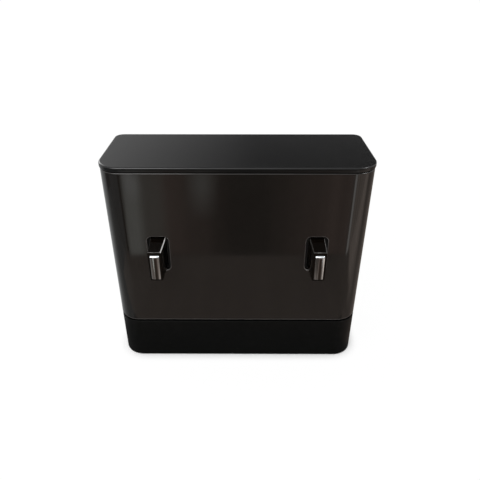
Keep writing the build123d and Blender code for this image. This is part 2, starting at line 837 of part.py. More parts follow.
# Contact guide: the box that the collar slides in, with a flange on the frame
with BuildPart() as contact_guide:
    with BuildSketch(facing(frame_back_y)):
        with Locations((0, contact_height)):
            Rectangle(guide_outer_width, guide_outer_height)
    extrude(amount=-(guide_back_y - frame_back_y))
    chamfer(contact_guide.edges().filter_by(Axis.Y), guide_corner)
    with BuildSketch(facing(frame_back_y)):
        with Locations((0, contact_height)):
            Rectangle(guide_outer_width + 2 * flange_reach, guide_outer_height)
    extrude(amount=-flange_thickness)
    with BuildSketch(facing(frame_back_y)):
        with Locations((0, contact_height)):
            Rectangle(guide_inner_width, guide_inner_height)
    extrude(amount=-(guide_floor_y - frame_back_y), mode=Mode.SUBTRACT)
    with BuildSketch(facing(guide_floor_y)):
        with Locations((0, (terminal_top + terminal_bottom) / 2)):
            Rectangle(
                terminal_width + 2 * terminal_slot_clearance,
                terminal_sheet + 2 * terminal_slot_clearance,
            )
    extrude(amount=-guide_rear_wall, mode=Mode.SUBTRACT)


# Contact terminal: a wiper blade under the tail, a flange on the guide and a solder tab
with BuildPart() as contact_terminal:
    with BuildSketch(facing(terminal_tip_y)):
        with Locations((0, (terminal_top + terminal_bottom) / 2)):
            Rectangle(terminal_width, terminal_sheet)
    extrude(amount=-(terminal_end_y - terminal_tip_y))
    with BuildSketch(facing(guide_back_y)):
        with Locations((0, (terminal_top + terminal_bottom) / 2)):
            Rectangle(terminal_flange_width, terminal_flange_height)
    extrude(amount=-terminal_sheet)


# The contact pieces stand on both sides of the dock
contact_pieces = {
    "contact_finger": contact_finger.part,
    "contact_strip": contact_strip.part,
    "contact_spring": contact_spring.part,
    "contact_guide": contact_guide.part,
    "contact_terminal": contact_terminal.part,
}
for side_name, side in (("left", -1), ("right", 1)):
    for piece_name, piece in contact_pieces.items():
        with BuildPart() as placed:
            with Locations((side * contact_x, 0, 0)):
                add(piece)
        placed.part.label = f"{piece_name}_{side_name}"
        export_step(placed.part, f"parts/{piece_name}_{side_name}.step")


# Signal board: stands on the frame's bosses behind the sleeve
with BuildPart() as signal_board:
    with BuildSketch(facing(board_front_y)):
        with Locations((0, board_middle)):
            Rectangle(board_width, board_height)
        with Locations(*board_hole_places):
            Circle(through_radius, mode=Mode.SUBTRACT)
    extrude(amount=-board_thickness)
signal_board.part.label = "signal_board"
export_step(signal_board.part, "parts/signal_board.step")


# Infrared emitters: round lamps on the front of the board
for place, x in emitter_places.items():
    with BuildPart() as emitter:
        with BuildSketch(facing(board_front_y)):
            with Locations((x, board_middle)):
                Circle(emitter_radius)
        extrude(amount=emitter_length)
    emitter.part.label = f"ir_emitter_{place}"
    export_step(emitter.part, f"parts/ir_emitter_{place}.step")


# Infrared baffle: a block between frame and board, with a square cell round each emitter
with BuildPart() as ir_baffle:
    with BuildSketch(facing(frame_back_y)):
        with Locations((0, board_middle)):
            Rectangle(baffle_width, baffle_height)
        with Locations(*[(x, board_middle) for x in emitter_places.values()]):
            Rectangle(baffle_cell, baffle_cell, mode=Mode.SUBTRACT)
    extrude(amount=-board_stand)
ir_baffle.part.label = "ir_baffle"
export_step(ir_baffle.part, "parts/ir_baffle.step")


# Control chip: a flat package with a row of leads on two sides
with BuildPart() as control_chip:
    with BuildSketch(facing(board_back_y)):
        with Locations((chip_x, board_middle)):
            with GridLocations(chip_side + chip_lead_reach, chip_lead_pitch, 2, chip_leads):
                Rectangle(chip_lead_reach * 2, chip_lead_width)
    extrude(amount=-chip_lead_thickness)
    with BuildSketch(facing(board_back_y)):
        with Locations((chip_x, board_middle)):
            Rectangle(chip_side, chip_side)
    extrude(amount=-chip_thickness)
control_chip.part.label = "control_chip"
export_step(control_chip.part, "parts/control_chip.step")


# Filter capacitor: a can on the back of the board
with BuildPart() as filter_capacitor:
    with BuildSketch(facing(board_back_y)):
        with Locations((capacitor_x, board_middle)):
            Circle(capacitor_radius)
    extrude(amount=-capacitor_length)
filter_capacitor.part.label = "filter_capacitor"
export_step(filter_capacitor.part, "parts/filter_capacitor.step")


# Lead header: the connector block that the leads end in
with BuildPart() as lead_header:
    with BuildSketch(facing(board_back_y)):
        with Locations((0, header_bottom)):
            Rectangle(header_width, header_height, align=(Align.CENTER, Align.MIN))
    extrude(amount=-header_depth)
lead_header.part.label = "lead_header"
export_step(lead_header.part, "parts/lead_header.step")


# Leads from the contact terminals to the header
for side_name, side in (("left", -1), ("right", 1)):
    terminal_x = side * contact_x
    terminal_z = (terminal_top + terminal_bottom) / 2
    with BuildPart() as contact_lead:
        add(
            lead(
                [
                    (terminal_x, terminal_end_y, terminal_z),
                    (terminal_x, terminal_end_y + lead_run_in, terminal_z),
                    (side * header_pitch, header_middle_y, header_bottom - header_run_in),
                    (side * header_pitch, header_middle_y, header_bottom),
                ],
                contact_lead_radius,
            )
        )
    contact_lead.part.label = f"contact_lead_{side_name}"
    export_step(contact_lead.part, f"parts/contact_lead_{side_name}.step")


# Power inlet: a jack with its bore to the back and three solder tabs to the front
with BuildPart() as dc_jack:
    with BuildSketch(facing(jack_back_y)):
        with Locations((jack_x, jack_height)):
            Rectangle(jack_width, jack_body_height)
    extrude(amount=jack_depth)
    chamfer(dc_jack.edges().filter_by(Axis.Y).group_by(Axis.Z)[-1], jack_edge)
    with BuildSketch(facing(jack_back_y)):
        with Locations((jack_x, jack_height)):
            Circle(jack_bore_radius)
    extrude(amount=jack_bore_depth, mode=Mode.SUBTRACT)
    with BuildSketch(facing(jack_front_y)):
        with Locations(*[(jack_x, jack_height + step * jack_tab_pitch) for step in (-1, 0, 1)]):
            Rectangle(jack_tab_width, jack_tab_thickness)
    extrude(amount=jack_tab_length)
dc_jack.part.label = "dc_jack"
export_step(dc_jack.part, "parts/dc_jack.step")

with BuildPart() as jack_pin:
    with BuildSketch(facing(jack_back_y - jack_bore_depth)):
        with Locations((jack_x, jack_height)):
            Circle(jack_pin_radius)
    extrude(amount=-jack_pin_length)
jack_pin.part.label = "jack_pin"
export_step(jack_pin.part, "parts/jack_pin.step")


# Supply lead from the jack, up through the deck and to the header
with BuildPart() as supply_lead:
    add(
        lead(
            [
                (jack_x, tab_end_y, jack_height),
                (jack_x, lead_hole_y, jack_height),
                (lead_hole_x, lead_hole_y, jack_height),
                (lead_hole_x, lead_hole_y, plinth_top + 2 * lead_run_in),
                (0, header_middle_y, header_bottom - header_run_in),
                (0, header_middle_y, header_bottom),
            ],
            supply_lead_radius,
        )
    )
supply_lead.part.label = "supply_lead"
export_step(supply_lead.part, "parts/supply_lead.step")


# Screws, each set as one group of separate solids
with BuildPart() as base_screws:
    seat_z = base_bottom + counterbore_depth
    with Locations(*[Plane((x, y, seat_z), z_dir=(0, 0, -1)) for x, y in base_screw_places]):
        add(screw(base_screw_length))
base_screws.part.label = "base_screws"
export_step(base_screws.part, "parts/base_screws.step")

with BuildPart() as board_screws:
    with Locations(*[Plane((x, board_back_y, z), z_dir=(0, 1, 0)) for x, z in board_hole_places]):
        add(screw(board_screw_length))
board_screws.part.label = "board_screws"
export_step(board_screws.part, "parts/board_screws.step")
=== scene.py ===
import json
import math

import bmesh
import bpy
from mathutils import Matrix, Vector


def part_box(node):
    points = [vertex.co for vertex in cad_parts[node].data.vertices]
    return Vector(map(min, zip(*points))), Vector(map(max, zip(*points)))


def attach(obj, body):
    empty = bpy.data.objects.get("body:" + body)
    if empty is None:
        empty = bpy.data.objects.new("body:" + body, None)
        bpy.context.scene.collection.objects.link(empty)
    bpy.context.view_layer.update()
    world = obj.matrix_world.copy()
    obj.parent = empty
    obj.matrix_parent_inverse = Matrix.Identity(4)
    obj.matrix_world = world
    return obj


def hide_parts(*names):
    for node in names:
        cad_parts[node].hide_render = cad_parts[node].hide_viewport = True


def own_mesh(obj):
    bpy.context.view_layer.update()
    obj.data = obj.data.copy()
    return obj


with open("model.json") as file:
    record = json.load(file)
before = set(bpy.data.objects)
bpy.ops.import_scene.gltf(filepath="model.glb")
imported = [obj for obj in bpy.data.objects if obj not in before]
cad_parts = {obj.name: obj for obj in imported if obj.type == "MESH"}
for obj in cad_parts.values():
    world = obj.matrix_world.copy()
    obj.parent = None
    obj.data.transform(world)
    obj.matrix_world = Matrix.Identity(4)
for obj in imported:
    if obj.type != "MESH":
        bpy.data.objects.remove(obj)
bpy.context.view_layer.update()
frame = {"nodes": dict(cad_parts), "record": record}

mm = 0.001
touch = 0.01 * mm
sides = ("left", "right")

# Shape values that the model's boxes don't give; each name in _steps is a number of bevel segments
front_corner = 12.2 * mm
front_corner_steps = 14
rear_corner = 4.7 * mm
rear_corner_steps = 9
wall = 2.4 * mm

cap_overhang = 0.35 * mm
cap_top_round = 0.9 * mm
cap_top_steps = 6
cap_lower_round = 0.25 * mm
cap_lower_steps = 2
lip_depth = 5.0 * mm
lip_wall = 1.5 * mm
lip_corner = 8.8 * mm
lip_rear_corner = 2.3 * mm
lip_side_gap = 6.2 * mm
lip_front_gap = 4.6 * mm
lip_rear_gap = 3.9 * mm

sleeve_top_round = 0.5 * mm
sleeve_top_steps = 3
sleeve_bottom_round = 1.6 * mm
sleeve_bottom_steps = 7
window_width = 11.8 * mm
window_height = 21.7 * mm
window_corner = 2.8 * mm
window_corner_steps = 8
window_lip = 0.45 * mm
window_lip_steps = 3
# Painted highlight on the rims of the sleeve: how much lighter the colour is there
window_highlight = 0.65
sleeve_top_highlight = 0.08
sleeve_bottom_highlight = 0.32

foot_chamfer = 0.7 * mm
skirt_gap = 0.15 * mm
skirt_round = 0.45 * mm

nose_width = 7.1 * mm
nose_height = 17.9 * mm
nose_round = 0.4 * mm
nose_steps = 4
shank_width = 8.3 * mm
shank_height = 18.5 * mm
finger_round = 1.0 * mm
finger_steps = 6
finger_top_round = 0.45 * mm
finger_top_steps = 3
# Painted highlight along a finger's left, right and front edges at the top: how much lighter the colour
# is there
painted_edge_highlights = {"left": (0.03, 2.0, 0.26), "right": (0.06, 0.22, 0.28)}
collar_thickness = 2.0 * mm
collar_round = 0.6 * mm
collar_steps = 3
pocket_width = 5.8 * mm
pocket_height = 14.8 * mm
pocket_depth = 10.5 * mm

strip_depth = 2.6 * mm
strip_clearance = 0.1 * mm
strip_trim = 0.17 * mm
strip_lift = 0.05 * mm
strip_top_bend = 1.4 * mm
strip_top_steps = 9
strip_bottom_bend = 0.7 * mm
strip_bottom_steps = 6
strip_crown = 0.38 * mm
strip_crown_drop = strip_crown / 2
strip_cuts = 10
strip_flank_round = 0.25 * mm
strip_flank_steps = 3
tail_width = 3.0 * mm
tail_thickness = 0.4 * mm

spring_sheet = 0.3 * mm
spring_folds = 2
spring_bend = 0.6 * mm
spring_bend_steps = 5


# Places taken from the model's boxes
sleeve_low, sleeve_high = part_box("front_sleeve")
plinth_low, plinth_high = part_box("base_plinth")
cap_low, cap_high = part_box("top_cap")
right_strip_low, right_strip_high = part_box("contact_strip_right")
half_width = plinth_high.x
contact_x = (right_strip_low.x + right_strip_high.x) / 2
front_y = plinth_low.y
back_y = plinth_high.y
middle_y = (front_y + back_y) / 2
seam_y = sleeve_high.y
strip_bend_z = right_strip_high.z + strip_lift - strip_top_bend


# Mesh helpers


def new_box(low, high):
    """A box between two corners, with a layer that marks faces for a painted highlight"""
    bm = bmesh.new()
    bm.faces.layers.float.new("rim")
    size = Vector(high) - Vector(low)
    place = Matrix.Translation((Vector(low) + Vector(high)) / 2) @ Matrix.Diagonal((*size, 1))
    bmesh.ops.create_cube(bm, size=1.0, matrix=place)
    return bm


def round_over(bm, edges, radius, steps, rim=0.0):
    """A bevel with a round section on some edges; rim says how much painted highlight its faces get"""
    made = bmesh.ops.bevel(
        bm,
        geom=list(edges),
        offset=radius,
        offset_type="OFFSET",
        affect="EDGES",
        segments=steps,
        profile=0.5,
        material=-1,
    )
    if rim:
        layer = bm.faces.layers.float["rim"]
        for face in made["faces"]:
            face[layer] = rim


def parallel(edge, axis):
    """True if an edge runs along X, Y or Z, given as 0, 1 or 2"""
    run = edge.verts[1].co - edge.verts[0].co
    return abs(abs(run[axis]) - run.length) < touch and run.length > touch


def edges_at(bm, axis, value, running=None):
    """Edges that lie in the plane where one coordinate has a value"""
    return [
        edge
        for edge in bm.edges
        if all(abs(vert.co[axis] - value) < touch for vert in edge.verts)
        and (running is None or parallel(edge, running))
    ]


def rounded_block(low, high, front_radius, rear_radius):
    """A block with one radius on its two front corners and another on its rear corners"""
    bm = new_box(low, high)
    round_over(bm, edges_at(bm, 1, low[1], running=2), front_radius, front_corner_steps)
    round_over(bm, edges_at(bm, 1, high[1], running=2), rear_radius, rear_corner_steps)
    return bm


def open_ends(bm):
    """Takes off the faces that look straight up or down"""
    ends = [face for face in bm.faces if abs(face.normal.z) > 0.999]
    bmesh.ops.delete(bm, geom=ends, context="FACES")


def thicken(bm, thickness):
    """Gives a sheet its wall, inwards"""
    bm.normal_update()
    bmesh.ops.solidify(bm, geom=bm.faces[:], thickness=thickness)
    bm.normal_update()


def outer_rim(bm, height, up):
    """Edges of a wall's outer outline at its top or bottom"""
    found = []
    for edge in edges_at(bm, 2, height):
        if len(edge.link_faces) != 2:
            continue
        flat = [face for face in edge.link_faces if face.normal.z * up > 0.99]
        upright = [face for face in edge.link_faces if abs(face.normal.z) < 0.3]
        if flat and upright:
            away = upright[0].calc_center_median() - Vector((0, middle_y, 0))
            if upright[0].normal.xy.dot(away.xy) > 0:
                found.append(edge)
    return found


def as_piece(name, bm, body, slot, nodes, smooth_angle=40.0, finish=None):
    """Makes the object, sets its shading, material and ride, and hides the model nodes it replaces"""
    mesh = bpy.data.meshes.new(name)
    bm.to_mesh(mesh)
    bm.free()
    piece = bpy.data.objects.new(name, mesh)
    bpy.context.scene.collection.objects.link(piece)
    mesh.shade_smooth()
    mesh.set_sharp_from_angle(angle=math.radians(smooth_angle))
    weighted = piece.modifiers.new("even_normals", "WEIGHTED_NORMAL")
    weighted.keep_sharp = True
    weighted.weight = 100
    mesh.materials.append(finishes[finish or slot])
    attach(piece, body)
    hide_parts(*nodes)
    return piece


def loose_object(bm, name="cutter"):
    """An object for one cut, or for the stage"""
    mesh = bpy.data.meshes.new(name)
    bm.to_mesh(mesh)
    bm.free()
    item = bpy.data.objects.new(name, mesh)
    bpy.context.scene.collection.objects.link(item)
    return item


def combine(bm, tools, operation):
    """Cuts tools out of a closed mesh, or joins them to it"""
    body = loose_object(bm, "blank")
    for tool_bm in tools:
        tool = loose_object(tool_bm)
        change = body.modifiers.new("change", "BOOLEAN")
        change.operation = operation
        change.solver = "EXACT"
        change.object = tool
        graph = bpy.context.evaluated_depsgraph_get()
        made = bpy.data.meshes.new_from_object(body.evaluated_get(graph))
        body.modifiers.clear()
        body.data = made
        bpy.data.objects.remove(tool)
    out = bmesh.new()
    out.from_mesh(body.data)
    bpy.data.objects.remove(body)
    bmesh.ops.remove_doubles(out, verts=out.verts[:], dist=touch / 10)
    out.normal_update()
    return out


# Node groups that several finishes use


def new_group(name, inputs, outputs):
    """An empty shader group with named sockets"""
    group = bpy.data.node_groups.new(name, "ShaderNodeTree")
    for label, kind, value in inputs:
        socket = group.interface.new_socket(label, in_out="INPUT", socket_type=kind)
        if value is not None:
            socket.default_value = value
    for label, kind in outputs:
        group.interface.new_socket(label, in_out="OUTPUT", socket_type=kind)
    start = group.nodes.new("NodeGroupInput")
    end = group.nodes.new("NodeGroupOutput")
    return group, start, end


def noise(tree, vector, scale, detail=3.0, rough=0.5):
    """Noise from 0 to 1; scale is a number or a socket"""
    node = tree.nodes.new("ShaderNodeTexNoise")
    node.inputs["Detail"].default_value = detail
    node.inputs["Roughness"].default_value = rough
    tree.links.new(vector, node.inputs["Vector"])
    if isinstance(scale, (int, float)):
        node.inputs["Scale"].default_value = scale
    else:
        tree.links.new(scale, node.inputs["Scale"])
    return node.outputs["Fac"]


def math_node(tree, operation, first, second=0.0, clamp=False):
    """One operation on two numbers or sockets"""
    node = tree.nodes.new("ShaderNodeMath")
    node.operation = operation
    node.use_clamp = clamp
    for socket, value in zip(node.inputs, (first, second)):
        if isinstance(value, (int, float)):
            socket.default_value = value
        else:
            tree.links.new(value, socket)
    return node.outputs[0]


def remap(tree, value, low, high, to_low=0.0, to_high=1.0):
    """Stretches one range to another, and clamps"""
    node = tree.nodes.new("ShaderNodeMapRange")
    tree.links.new(value, node.inputs["Value"])
    for label, number in (("From Min", low), ("From Max", high), ("To Min", to_low), ("To Max", to_high)):
        if isinstance(number, (int, float)):
            node.inputs[label].default_value = number
        else:
            tree.links.new(number, node.inputs[label])
    return node.outputs["Result"]


def mix_colour(tree, factor, first, second):
    """Goes from the first colour to the second as factor goes from 0 to 1"""
    node = tree.nodes.new("ShaderNodeMix")
    node.data_type = "RGBA"
    factor_socket, first_socket, second_socket = node.inputs[0], node.inputs[6], node.inputs[7]
    for socket, value in ((factor_socket, factor), (first_socket, first), (second_socket, second)):
        if isinstance(value, bpy.types.NodeSocket):
            tree.links.new(value, socket)
        elif isinstance(value, (int, float)):
            socket.default_value = value
        else:
            socket.default_value = (*value, 1.0)
    return node.outputs[2]


def scaled(tree, vector, factors):
    """Coordinates with a scale for each axis"""
    node = tree.nodes.new("ShaderNodeMapping")
    tree.links.new(vector, node.inputs["Vector"])
    node.inputs["Scale"].default_value = factors
    return node.outputs["Vector"]


def moulding_grain_group():
    """Spark-eroded texture of a moulded face: small domes over a fine noise"""
    group, start, end = new_group(
        "moulding_grain",
        [("Vector", "NodeSocketVector", None), ("Grain Scale", "NodeSocketFloat", 2500.0)],
        [("Height", "NodeSocketFloat"), ("Mask", "NodeSocketFloat")],
    )
    cells = group.nodes.new("ShaderNodeTexVoronoi")
    cells.feature = "SMOOTH_F1"
    group.links.new(start.outputs["Vector"], cells.inputs["Vector"])
    group.links.new(start.outputs["Grain Scale"], cells.inputs["Scale"])
    fine = noise(group, start.outputs["Vector"], start.outputs["Grain Scale"], 4.0, 0.6)
    height = math_node(group, "ADD", math_node(group, "MULTIPLY", fine, 0.6), cells.outputs["Distance"])
    group.links.new(height, end.inputs["Height"])
    group.links.new(remap(group, fine, 0.35, 0.65), end.inputs["Mask"])
    return group


def handling_group():
    """Soft smudges, fine rub marks and a little dust"""
    group, start, end = new_group(
        "handling",
        [
            ("Vector", "NodeSocketVector", None),
            ("Smudge", "NodeSocketFloat", 0.05),
            ("Base Roughness", "NodeSocketFloat", 0.3),
        ],
        [("Roughness", "NodeSocketFloat"), ("Dust", "NodeSocketFloat"), ("Cloud", "NodeSocketFloat")],
    )
    vector = start.outputs["Vector"]
    cloud = noise(group, vector, 28.0, 3.0, 0.55)
    smear = noise(group, scaled(group, vector, (900.0, 900.0, 60.0)), 1.0, 2.0, 0.5)
    rubbed = remap(group, smear, 0.4, 0.7, 0.3, 1.0)
    patches = math_node(group, "MULTIPLY", remap(group, cloud, 0.45, 0.7), rubbed)
    change = math_node(group, "MULTIPLY", patches, start.outputs["Smudge"])
    rough = math_node(group, "ADD", start.outputs["Base Roughness"], change)
    specks = group.nodes.new("ShaderNodeTexVoronoi")
    specks.inputs["Scale"].default_value = 420.0
    group.links.new(vector, specks.inputs["Vector"])
    spot = remap(group, specks.outputs["Distance"], 0.03, 0.09, 1.0, 0.0)
    some = remap(group, noise(group, vector, 170.0, 1.0), 0.62, 0.7)
    group.links.new(rough, end.inputs["Roughness"])
    group.links.new(math_node(group, "MULTIPLY", spot, some), end.inputs["Dust"])
    group.links.new(cloud, end.inputs["Cloud"])
    return group


def edge_wear_group():
    """A mask of the outward edges, broken up by noise"""
    group, start, end = new_group(
        "edge_wear",
        [("Vector", "NodeSocketVector", None), ("Pointiness", "NodeSocketFloat", 0.5)],
        [("Mask", "NodeSocketFloat")],
    )
    edge = remap(group, start.outputs["Pointiness"], 0.53, 0.6)
    broken = remap(group, noise(group, start.outputs["Vector"], 350.0, 4.0, 0.6), 0.4, 0.62, 0.25, 1.0)
    group.links.new(math_node(group, "MULTIPLY", edge, broken), end.inputs["Mask"])
    return group


def drawn_lines_group():
    """Lines of drawn or brushed metal that run along Z; on the nickel they stand as painted reflection
    streaks
    """
    group, start, end = new_group(
        "drawn_lines",
        [("Vector", "NodeSocketVector", None), ("Line Scale", "NodeSocketFloat", 1.0)],
        [("Broad", "NodeSocketFloat"), ("Fine", "NodeSocketFloat")],
    )
    stretched = group.nodes.new("ShaderNodeVectorMath")
    stretched.operation = "SCALE"
    group.links.new(scaled(group, start.outputs["Vector"], (1000.0, 1000.0, 14.0)), stretched.inputs[0])
    group.links.new(start.outputs["Line Scale"], stretched.inputs["Scale"])
    group.links.new(noise(group, stretched.outputs[0], 0.75, 1.5, 0.5), end.inputs["Broad"])
    group.links.new(noise(group, stretched.outputs[0], 9.0, 2.0, 0.6), end.inputs["Fine"])
    return group


groups = {
    "grain": moulding_grain_group(),
    "handling": handling_group(),
    "wear": edge_wear_group(),
    "lines": drawn_lines_group(),
}


def use_group(tree, name, **links):
    """Places a shared group; an underscore in a keyword stands for a space in the socket's name"""
    node = tree.nodes.new("ShaderNodeGroup")
    node.node_tree = groups[name]
    for label, value in links.items():
        socket = node.inputs[label.replace("_", " ")]
        if isinstance(value, bpy.types.NodeSocket):
            tree.links.new(value, socket)
        else:
            socket.default_value = value
    return node


# Finishes

dust_colour = (0.25, 0.24, 0.23)


def new_finish(name):
    """A material with its shader and Object coordinates"""
    material = bpy.data.materials.new(name)
    material.use_nodes = True
    tree = material.node_tree
    shader = tree.nodes["Principled BSDF"]
    coordinates = tree.nodes.new("ShaderNodeTexCoord")
    return material, tree, shader, coordinates.outputs["Object"]


def bump(tree, shader, height, strength, distance):
    """Relief from a height, distance deep"""
    node = tree.nodes.new("ShaderNodeBump")
    node.inputs["Strength"].default_value = strength
    node.inputs["Distance"].default_value = distance
    tree.links.new(height, node.inputs["Height"])
    tree.links.new(node.outputs["Normal"], shader.inputs["Normal"])


def moulded(name, colour, worn, roughness, grain_scale, grain_depth, specular, dust=0.5, smudge=0.12):
    """Moulded plastic with grain, smudges, dust and lighter edges"""
    material, tree, shader, vector = new_finish(name)
    grain = use_group(tree, "grain", Vector=vector, Grain_Scale=grain_scale)
    marks = use_group(tree, "handling", Vector=vector, Smudge=smudge, Base_Roughness=roughness)
    geometry = tree.nodes.new("ShaderNodeNewGeometry")
    wear = use_group(tree, "wear", Vector=vector, Pointiness=geometry.outputs["Pointiness"])
    darker, lighter, grain_top = ([channel * share for channel in colour] for share in (0.86, 1.14, 1.35))
    toned = mix_colour(tree, remap(tree, marks.outputs["Cloud"], 0.3, 0.7), darker, lighter)
    grained = mix_colour(tree, math_node(tree, "MULTIPLY", grain.outputs["Mask"], 0.35), toned, grain_top)
    edged = mix_colour(tree, wear.outputs["Mask"], grained, worn)
    dust_share = math_node(tree, "MULTIPLY", marks.outputs["Dust"], dust)
    tree.links.new(mix_colour(tree, dust_share, edged, dust_colour), shader.inputs["Base Color"])
    tree.links.new(marks.outputs["Roughness"], shader.inputs["Roughness"])
    shader.inputs["Specular IOR Level"].default_value = specular
    bump(tree, shader, grain.outputs["Height"], 0.6, grain_depth)
    return material


def painted_highlight_mask(tree):
    """The share of painted highlight that round_over left on the faces of a rim"""
    rim = tree.nodes.new("ShaderNodeAttribute")
    rim.attribute_name = "rim"
    return rim.outputs["Fac"]


def finger_plastic():
    """Black glossy moulding, with a painted highlight along some edges at its top"""
    material, tree, shader, vector = new_finish("finger_black")
    marks = use_group(tree, "handling", Vector=vector, Smudge=0.05, Base_Roughness=0.12)
    # A painted highlight on the marked edges, broken up by noise
    broken = remap(tree, noise(tree, vector, 700.0, 2.0), 0.35, 0.6, 0.5, 1.0)
    strength = math_node(tree, "MULTIPLY", painted_highlight_mask(tree), broken, clamp=True)
    body = mix_colour(tree, marks.outputs["Cloud"], (0.0034, 0.0023, 0.0016), (0.0050, 0.0034, 0.0024))
    tree.links.new(mix_colour(tree, strength, body, (0.80, 0.78, 0.76)), shader.inputs["Base Color"])
    tree.links.new(marks.outputs["Roughness"], shader.inputs["Roughness"])
    shader.inputs["Specular IOR Level"].default_value = 0.08
    bump(tree, shader, noise(tree, vector, 1800.0, 2.0), 0.25, 0.004 * mm)
    return material


def smoked_gloss():
    """Polished smoked plastic: a painted highlight on its rims, slow flow waves, rub marks and specks of
    dust
    """
    material, tree, shader, vector = new_finish("smoked_gloss")
    marks = use_group(tree, "handling", Vector=vector, Smudge=0.05, Base_Roughness=0.07)
    tone = remap(tree, marks.outputs["Cloud"], 0.35, 0.65)
    warm = mix_colour(tree, tone, (0.0054, 0.0043, 0.0037), (0.0066, 0.0054, 0.0046))
    # The rims get a painted highlight: a lighter colour where round_over marked them
    highlighted = mix_colour(tree, painted_highlight_mask(tree), warm, (0.13, 0.12, 0.115))
    dust_share = math_node(tree, "MULTIPLY", marks.outputs["Dust"], 0.2)
    tree.links.new(mix_colour(tree, dust_share, highlighted, (0.2, 0.19, 0.18)), shader.inputs["Base Color"])
    tree.links.new(marks.outputs["Roughness"], shader.inputs["Roughness"])
    shader.inputs["Specular IOR Level"].default_value = 0.5
    flow = noise(tree, scaled(tree, vector, (30.0, 30.0, 7.0)), 1.0, 1.0, 0.4)
    bump(tree, shader, flow, 0.12, 0.3 * mm)
    return material


reflection_band_reach = 2.4 * mm
bend_highlight_blend = 0.5 * mm
# Painted reflection bands across a contact strip: how far from its left edge, from 0 to 1, and how bright
reflection_band_stops = (
    (0.0, 0.42),
    (0.20, 0.38),
    (0.30, 0.16),
    (0.37, 0.46),
    (0.45, 0.10),
    (0.56, 0.01),
    (0.68, 0.06),
    (0.78, 0.24),
    (0.88, 1.0),
)


def painted_reflection_bands(tree, vector, tone):
    """Painted reflection bands on the contact strips, the same across both"""
    split = tree.nodes.new("ShaderNodeSeparateXYZ")
    tree.links.new(vector, split.inputs[0])
    own_side = math_node(tree, "MULTIPLY", math_node(tree, "SIGN", split.outputs["X"]), contact_x)
    across = math_node(tree, "SUBTRACT", split.outputs["X"], own_side)
    place = remap(tree, across, -reflection_band_reach, reflection_band_reach)
    wander = noise(tree, scaled(tree, vector, (300.0, 300.0, 30.0)), 1.0, 2.0)
    place = math_node(tree, "ADD", place, remap(tree, wander, 0.3, 0.7, -0.03, 0.03))
    ramp = tree.nodes.new("ShaderNodeValToRGB")
    ramp.color_ramp.interpolation = "EASE"
    for at, level in reflection_band_stops:
        stop = ramp.color_ramp.elements.new(at)
        stop.color = (level, level, level, 1.0)
    ramp.color_ramp.elements.remove(ramp.color_ramp.elements[0])
    ramp.color_ramp.elements.remove(ramp.color_ramp.elements[-1])
    tree.links.new(place, ramp.inputs[0])
    fine = remap(tree, tone, 0.0, 1.0, 0.75, 1.1)
    return math_node(tree, "MULTIPLY", ramp.outputs["Color"], fine, clamp=True)


def plated(name, dark, light, roughness, line_scale, highlight_above=None, reflection_bands=False):
    """Drawn or plated metal with dark and light lines along its length, painted reflection bands if
    asked, and a painted highlight that makes it all light from a height up
    """
    material, tree, shader, vector = new_finish(name)
    lines = use_group(tree, "lines", Vector=vector, Line_Scale=line_scale)
    marks = use_group(tree, "handling", Vector=vector, Smudge=0.12, Base_Roughness=roughness)
    tone = remap(tree, lines.outputs["Broad"], 0.38, 0.62)
    if reflection_bands:
        tone = painted_reflection_bands(tree, vector, tone)
    if highlight_above is not None:
        height = tree.nodes.new("ShaderNodeSeparateXYZ")
        tree.links.new(vector, height.inputs[0])
        bend_highlight = remap(tree, height.outputs["Z"], highlight_above, highlight_above + bend_highlight_blend)
        tone = math_node(tree, "MAXIMUM", tone, bend_highlight)
    broad = mix_colour(tree, tone, dark, light)
    fine = mix_colour(tree, math_node(tree, "MULTIPLY", lines.outputs["Fine"], 0.35), broad, dark)
    tree.links.new(fine, shader.inputs["Base Color"])
    tree.links.new(marks.outputs["Roughness"], shader.inputs["Roughness"])
    shader.inputs["Metallic"].default_value = 1.0
    bump(tree, shader, lines.outputs["Fine"], 0.5, 0.01 * mm)
    return material


def board_finish():
    """Solder mask with copper tracks under it and a fine weave"""
    material, tree, shader, vector = new_finish("board_green")
    tracks = tree.nodes.new("ShaderNodeTexBrick")
    tree.links.new(scaled(tree, vector, (260.0, 260.0, 520.0)), tracks.inputs["Vector"])
    tracks.inputs["Color1"].default_value = (0.012, 0.10, 0.045, 1.0)
    tracks.inputs["Color2"].default_value = (0.016, 0.13, 0.06, 1.0)
    tracks.inputs["Mortar"].default_value = (0.03, 0.20, 0.09, 1.0)
    tracks.inputs["Mortar Size"].default_value = 0.03
    marks = use_group(tree, "handling", Vector=vector, Smudge=0.1, Base_Roughness=0.28)
    tree.links.new(tracks.outputs["Color"], shader.inputs["Base Color"])
    tree.links.new(marks.outputs["Roughness"], shader.inputs["Roughness"])
    bump(tree, shader, tracks.outputs["Fac"], 0.4, 0.03 * mm)
    return material


